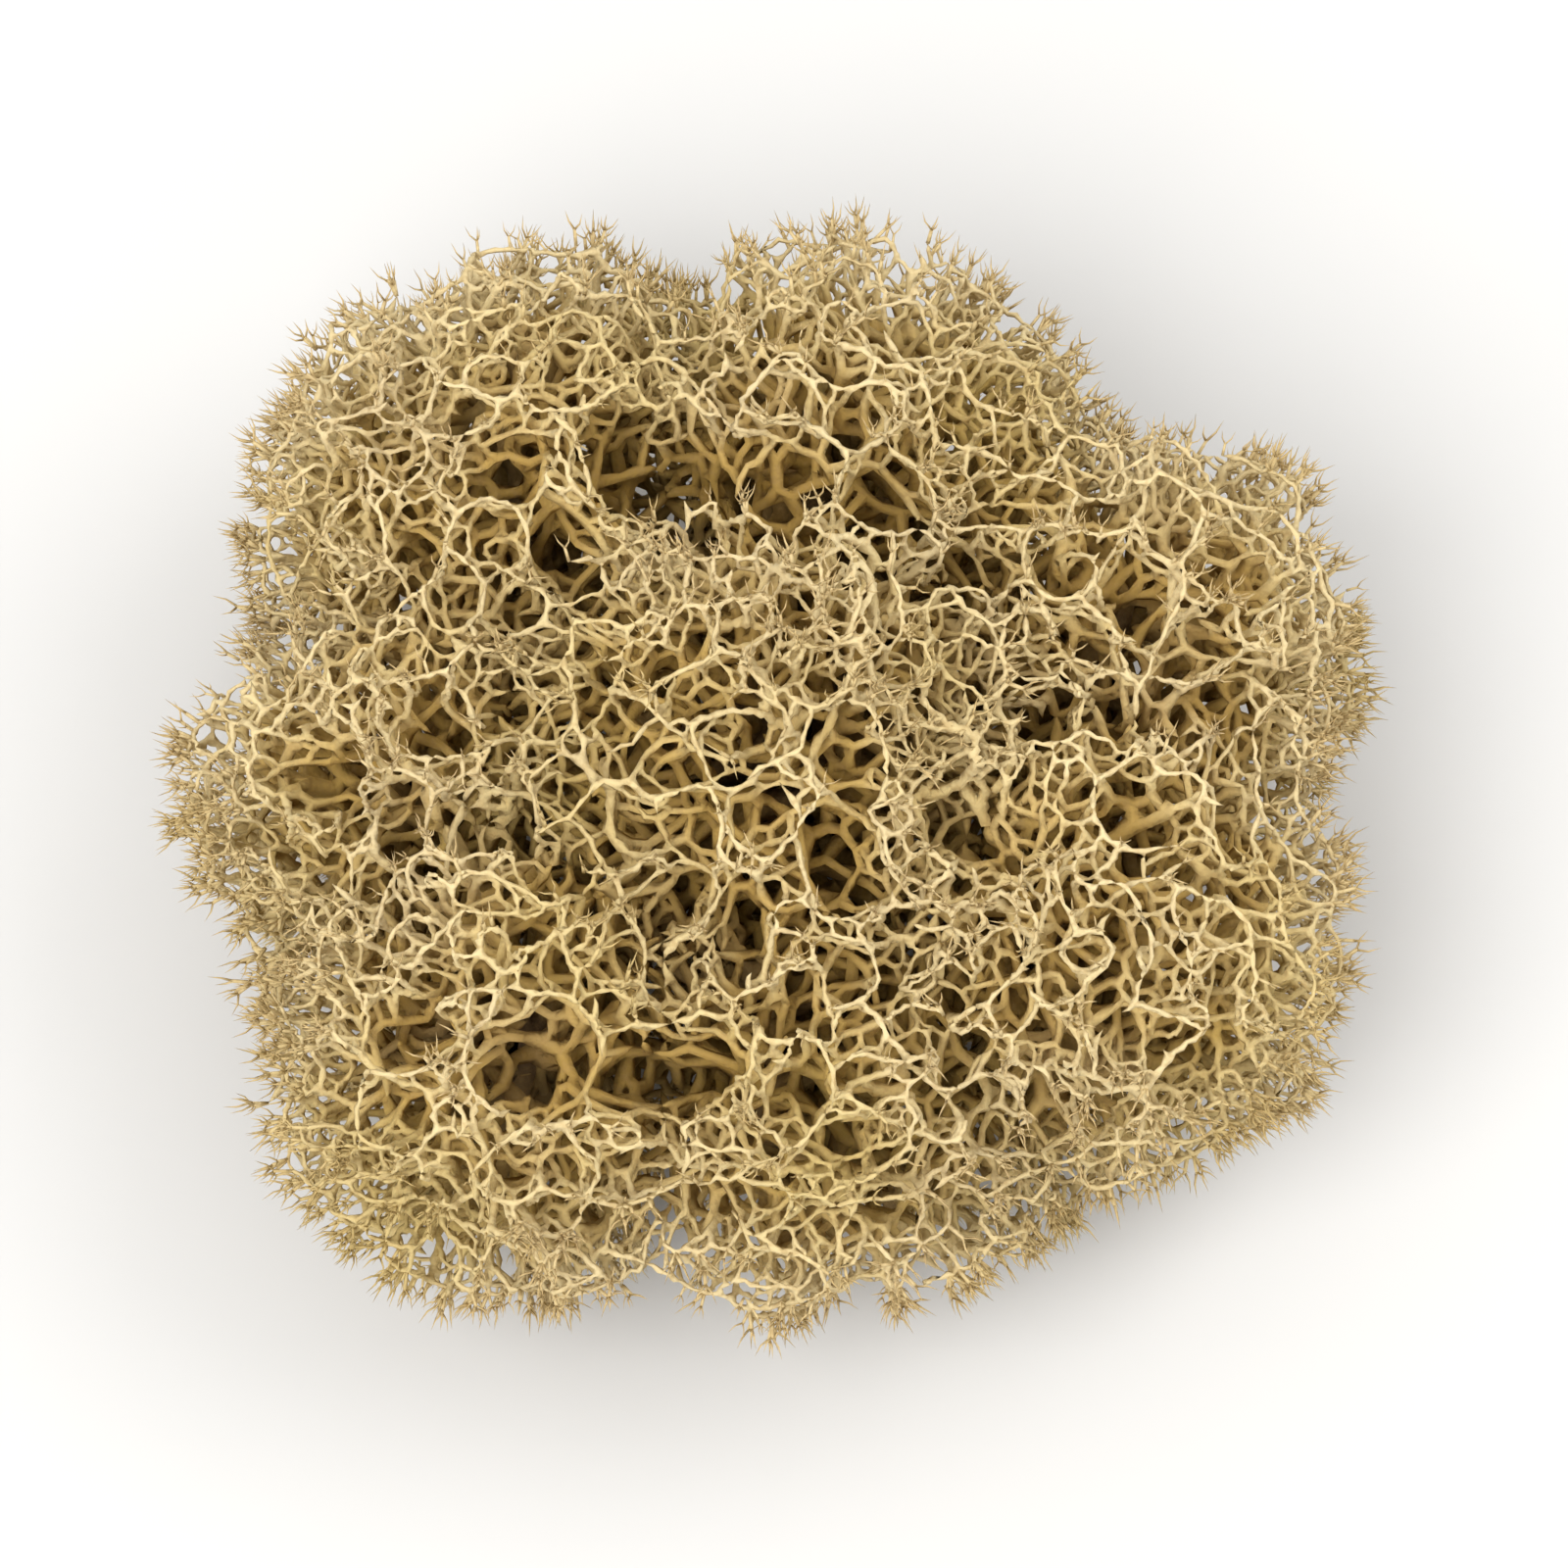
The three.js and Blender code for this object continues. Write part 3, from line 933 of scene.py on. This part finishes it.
def model_stalk():
    """A crooked stalk that stands on the origin."""
    start_piece()
    bpy.ops.mesh.primitive_cylinder_add(
        vertices=STALK_SIDES,
        radius=STALK_WIDTH / 2,
        depth=STALK_HEIGHT,
        location=(0, 0, STALK_HEIGHT / 2),
    )
    stalk = bpy.context.object
    bpy.ops.object.transform_apply()
    for height, _, _, _ in STALK_RINGS:
        cut_across(stalk, height)
    for height, push_x, push_y, resize in STALK_RINGS:
        select_where(stalk, lambda place: abs(place.z - height) < AT_RING)
        bpy.ops.transform.resize(value=(resize, resize, 1))
        bpy.ops.transform.translate(value=(push_x, push_y, 0))
    select_where(stalk, lambda place: place.z < AT_RING)
    bpy.ops.mesh.inset(thickness=STALK_WIDTH * CUT_RIM)
    bpy.ops.transform.translate(value=(0, 0, STALK_WIDTH * CUT_SUNK))
    bpy.ops.object.mode_set(mode="OBJECT")
    for height, side in STUBS:
        add_stub(stalk, height, side)
    return joined([stalk])


stalk = model_stalk()
print("faces of a stalk:", len(stalk[1]))

# %% Set the stalks under the heads
BUNDLE_STALKS = 6
BUNDLE_SPREAD, BUNDLE_TOP_SPREAD = 0.95, 0.665  # from the head's middle line
BUNDLE_WIDTHS = (0.8, 1.15)  # times the modelled width
SIDE_STALKS = 6
SIDE_SPREAD, SIDE_TOP_SPREAD = (3.0, 5.2), 0.5
SIDE_WIDTHS = (0.7, 1.1)
TURN_VARIETY = 0.5  # of the step from one stalk to the next
STALK_DARKNESS = 6.5  # millimetres of depth whose colour the stalks have


def set_stalk(skin, head, turn, foot, top, width):
    """A turned copy as tall as the head's centre, with its foot and top this far to one side."""
    points, faces = stalk
    height = centres[head, 2]
    placed = points @ np.array(Matrix.Rotation(draw.uniform(0, 2 * math.pi), 3, "Z")).T
    placed[:, :2] *= width
    placed[:, 2] *= height / STALK_HEIGHT
    lift = placed[:, 2:] / height
    aside = np.array([math.cos(turn), math.sin(turn)])
    placed[:, :2] += centres[head, :2] + aside * (foot + (top - foot) * lift)
    skin.add_copy(placed, STALK_DARKNESS, faces)


for head, skin in enumerate(skins):
    for number in range(BUNDLE_STALKS):
        turn = 2 * math.pi * (number + draw.uniform(0, TURN_VARIETY)) / BUNDLE_STALKS
        width = draw.uniform(*BUNDLE_WIDTHS)
        set_stalk(skin, head, turn, BUNDLE_SPREAD, BUNDLE_TOP_SPREAD, width)
    for number in range(SIDE_STALKS):
        turn = 2 * math.pi * (number + draw.uniform(0, TURN_VARIETY)) / SIDE_STALKS
        foot = draw.uniform(*SIDE_SPREAD)
        width = draw.uniform(*SIDE_WIDTHS)
        set_stalk(skin, head, turn, foot, SIDE_TOP_SPREAD, width)
print("each head stands on", BUNDLE_STALKS + SIDE_STALKS, "stalks")

# %% [markdown]
# ## The finish of the lichen
#
# Dry lichen is dull and slightly downy. Its outer branches are straw-coloured and their very tips
# are browner. Deeper in, the branches turn dark brown, partly because they really brown towards the
# stalk and partly as painted shade where the outer net shades them. The depth of each point is
# kept as an attribute of the mesh, and a colour ramp reads it. Over it, slow noise shifts patches
# towards yellow or grey, fine noise mottles the branches, and the finest one roughens them as a
# bump.

# %% Helpers for materials
def linear(red, green, blue):
    """A colour as on screen, from 0 to 255, turned into the linear values that a shader takes."""
    shares = (value / 255 for value in (red, green, blue))
    return tuple(s / 12.92 if s <= 0.04045 else ((s + 0.055) / 1.055) ** 2.4 for s in shares) + (1,)


def add_node(tree, kind, **values):
    """A node with values on its sockets, whose names have _ for a space."""
    node = tree.nodes.new(kind)
    for name, value in values.items():
        node.inputs[name.replace("_", " ")].default_value = value
    return node


def noise_on_object(tree, scale, detail):
    """Noise that stays with the object's own coordinates."""
    place = tree.nodes.new("ShaderNodeTexCoord")
    noise = add_node(tree, "ShaderNodeTexNoise", Scale=scale, Detail=detail)
    tree.links.new(place.outputs["Object"], noise.inputs["Vector"])
    return noise


def mixed_colour(tree, factor, first, second):
    """The first colour turned towards the second. Each is a fixed colour or a socket."""
    mix = tree.nodes.new("ShaderNodeMix")
    mix.data_type = "RGBA"
    tree.links.new(factor, mix.inputs["Factor"])
    for socket, value in ((mix.inputs["A"], first), (mix.inputs["B"], second)):
        if isinstance(value, tuple):
            socket.default_value = value
        else:
            tree.links.new(value, socket)
    return mix.outputs["Result"]


def stretched(tree, value, low, high, to_low=0.0, to_high=1.0):
    """A value from the range low to high, brought to the range to_low to to_high."""
    limits = {"From_Min": low, "From_Max": high, "To_Min": to_low, "To_Max": to_high}
    scale = add_node(tree, "ShaderNodeMapRange", **limits)
    tree.links.new(value, scale.inputs["Value"])
    return scale.outputs["Result"]


print("a mid straw colour is", [round(share, 2) for share in linear(184, 153, 86)])

# %% Lichen material
# The colour darkens with depth. This is partly the real browning of the older inner branches and
# partly painted shade where the outer net shades them.
DEPTH_BROWN_AND_SHADE = (  # millimetres under the outside, and the colour there
    (-1.0, linear(198, 169, 116)),
    (-0.3, linear(209, 188, 140)),
    (1.2, linear(212, 193, 147)),
    (2.6, linear(205, 183, 129)),
    (4.5, linear(184, 153, 86)),
    (8.0, linear(148, 117, 52)),
    (12.0, linear(104, 80, 48)),
)
SHIFTS = (  # noise to a metre and its detail, noise where it starts and is full, its most, colour
    (70, 2, 0.5, 0.72, 0.5, linear(186, 162, 90)),
    (110, 2, 0.55, 0.8, 0.4, linear(176, 156, 128)),
    (2400, 4, 0.46, 0.68, 0.45, linear(164, 134, 84)),
)
DOWN_SCALE, DOWN_DETAIL = 4500, 3  # of the bump's noise
DOWN_HEIGHT, DOWN_STRENGTH = 0.00012, 0.6
ROUGHNESS, SPECULAR = 0.82, 0.25


def brown_and_shade_at_depth(tree):
    """A colour ramp over the depth under the outside: real browning and painted shade."""
    depth = tree.nodes.new("ShaderNodeAttribute")
    depth.attribute_name = "depth"
    low, high = DEPTH_BROWN_AND_SHADE[0][0], DEPTH_BROWN_AND_SHADE[-1][0]
    ramp = tree.nodes.new("ShaderNodeValToRGB")
    while len(ramp.color_ramp.elements) < len(DEPTH_BROWN_AND_SHADE):
        ramp.color_ramp.elements.new(0.5)  # their places are set next
    for element, (at, colour) in zip(ramp.color_ramp.elements, DEPTH_BROWN_AND_SHADE):
        element.position = (at - low) / (high - low)
        element.color = colour
    tree.links.new(stretched(tree, depth.outputs["Fac"], low, high), ramp.inputs["Fac"])
    return ramp.outputs["Color"]


def lichen_material():
    """The ramp, the shifts over it one after another, and the down as a bump."""
    material = bpy.data.materials.new("dry_lichen")
    material.use_nodes = True
    tree = material.node_tree
    shader = tree.nodes["Principled BSDF"]
    colour = brown_and_shade_at_depth(tree)
    for scale, detail, start, full, most, shifted in SHIFTS:
        noise = noise_on_object(tree, scale, detail).outputs["Fac"]
        colour = mixed_colour(tree, stretched(tree, noise, start, full, 0, most), colour, shifted)
    tree.links.new(colour, shader.inputs["Base Color"])
    shader.inputs["Roughness"].default_value = ROUGHNESS
    shader.inputs["Specular IOR Level"].default_value = SPECULAR
    bump = add_node(tree, "ShaderNodeBump", Strength=DOWN_STRENGTH, Distance=DOWN_HEIGHT)
    down = noise_on_object(tree, DOWN_SCALE, DOWN_DETAIL)
    tree.links.new(down.outputs["Fac"], bump.inputs["Height"])
    tree.links.new(bump.outputs["Normal"], shader.inputs["Normal"])
    return material


lichen = lichen_material()
print("made", lichen.name)

# %% [markdown]
# ## Meshes
#
# Each head becomes one mesh in metres, smooth-shaded, that takes the place of its solid.

# %% Make the heads
BASE_DARKNESS = 0.7  # millimetres of depth for each millimetre below the top of the dead base


def head_piece(name, skin):
    """The mesh of one head with its depths and material, as an object of the scene."""
    mesh = bpy.data.meshes.new("branches_" + name)
    points = np.concatenate(skin.points)
    mesh.from_pydata((points * MM).tolist(), [], skin.faces)
    base = BASE_DARKNESS * np.clip(BASE_HEIGHT - points[:, 2], 0, None)
    depth = mesh.attributes.new("depth", "FLOAT", "POINT")
    depth.data.foreach_set("value", (np.concatenate(skin.deep) + base).astype(np.float32))
    mesh.materials.append(lichen)
    piece = bpy.data.objects.new("branches_" + name, mesh)
    bpy.context.scene.collection.objects.link(piece)
    bpy.ops.object.select_all(action="DESELECT")
    piece.select_set(True)
    bpy.context.view_layer.objects.active = piece
    bpy.ops.object.shade_smooth()
    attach(piece, "root")
    return piece


heads = {}
for name, skin in zip(names, skins):
    heads[name] = head_piece(name, skin)
    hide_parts(name)
for name, piece in heads.items():
    print(name, "has", sum(len(face.vertices) - 2 for face in piece.data.polygons), "triangles")

# %% [markdown]
# ## Floor and light
#
# A plain pale floor, one large soft light from above left, a weaker one from the right, and a
# bright room. At the horizon the room is as bright as the floor, so that no line shows between them
# from the side.

# %% Floor and light
FLOOR_COLOUR = (0.595, 0.59, 0.58, 1)
FLOOR_ROUGHNESS = 0.9
FLOOR_SIDE = 8
LIGHTS = {  # place, width and power
    "key_light": ((-0.22, -0.3, 0.55), 0.45, 3.3),
    "fill_light": ((0.4, 0.1, 0.5), 0.5, 1.5),
}
ROOM_COLOUR = (1, 0.995, 0.985, 1)
ROOM_STRENGTH = (0.64, 1.04)  # at the horizon and above
ROOM_BRIGHT_FROM = 0.35  # rise of the direction where the room has its full strength


def floor_material():
    material = bpy.data.materials.new("pale_floor")
    material.use_nodes = True
    shader = material.node_tree.nodes["Principled BSDF"]
    shader.inputs["Base Color"].default_value = FLOOR_COLOUR
    shader.inputs["Roughness"].default_value = FLOOR_ROUGHNESS
    return material


def soft_light(name, place, width, power):
    """A round area light that shines at the clump."""
    data = bpy.data.lights.new(name, "AREA")
    data.shape = "DISK"
    data.size = width
    data.energy = power
    light = bpy.data.objects.new(name, data)
    bpy.context.scene.collection.objects.link(light)
    light.location = place
    light.rotation_euler = (aim - Vector(place)).to_track_quat("-Z", "Y").to_euler()


start_piece()
bpy.ops.mesh.primitive_plane_add(size=FLOOR_SIDE, location=(0, 0, 0))
floor = bpy.context.object
floor.name = "floor"
floor.data.materials.append(floor_material())
for name, (place, width, power) in LIGHTS.items():
    soft_light(name, place, width, power)
world = bpy.data.worlds.new("studio")
world.use_nodes = True
room = world.node_tree
direction = room.nodes.new("ShaderNodeTexCoord")
height = room.nodes.new("ShaderNodeSeparateXYZ")
room.links.new(direction.outputs["Generated"], height.inputs["Vector"])
strength = stretched(room, height.outputs["Z"], 0, ROOM_BRIGHT_FROM, *ROOM_STRENGTH)
room.links.new(strength, room.nodes["Background"].inputs["Strength"])
room.nodes["Background"].inputs["Color"].default_value = ROOM_COLOUR
bpy.context.scene.world = world
bpy.context.scene.view_settings.view_transform = "Standard"
print(len(LIGHTS), "lights and a floor")
